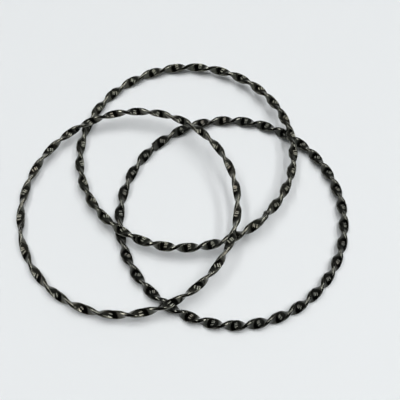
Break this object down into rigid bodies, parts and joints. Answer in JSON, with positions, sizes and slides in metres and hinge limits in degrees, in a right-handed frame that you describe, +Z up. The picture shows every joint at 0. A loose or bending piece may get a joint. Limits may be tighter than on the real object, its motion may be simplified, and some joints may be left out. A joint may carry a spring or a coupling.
{
  "type": "twisted ring puzzle",
  "caption": "Closed rings of twisted flat metal strip, bangle sized, lying in a loose leaning stack; each ring lifts off the one below it.",
  "frame": {"origin": "middle of the stack's footprint, on the table", "axes": "+Z up, +X to the right and +Y away from a viewer who has the middle ring at the far side"},
  "size_m": [0.0984, 0.0901, 0.0092],
  "materials": {
    "bottom_strip_metal": "blackened steel, patchy film with worn paler edges",
    "middle_strip_metal": "darkened steel, patchy film with worn paler edges",
    "top_strip_metal": "oxidised steel, patchy film with worn paler edges",
    "solder": "tarnished silver solder, uneven"
  },
  "bodies": {
    "bottom_ring": {"bottom_ring_strip": "bottom_strip_metal", "bottom_ring_solder": "solder"},
    "middle_ring": {"middle_ring_strip": "middle_strip_metal", "middle_ring_solder": "solder"},
    "top_ring": {"top_ring_strip": "top_strip_metal", "top_ring_solder": "solder"}
  },
  "joints": [
    {"name": "middle_ring_lift", "type": "slide", "parent": "bottom_ring", "child": "middle_ring", "axis": [0, 0, 1], "range_m": [0, 0.04]},
    {"name": "top_ring_lift", "type": "slide", "parent": "middle_ring", "child": "top_ring", "axis": [0, 0, 1], "range_m": [0, 0.04]}
  ]
}
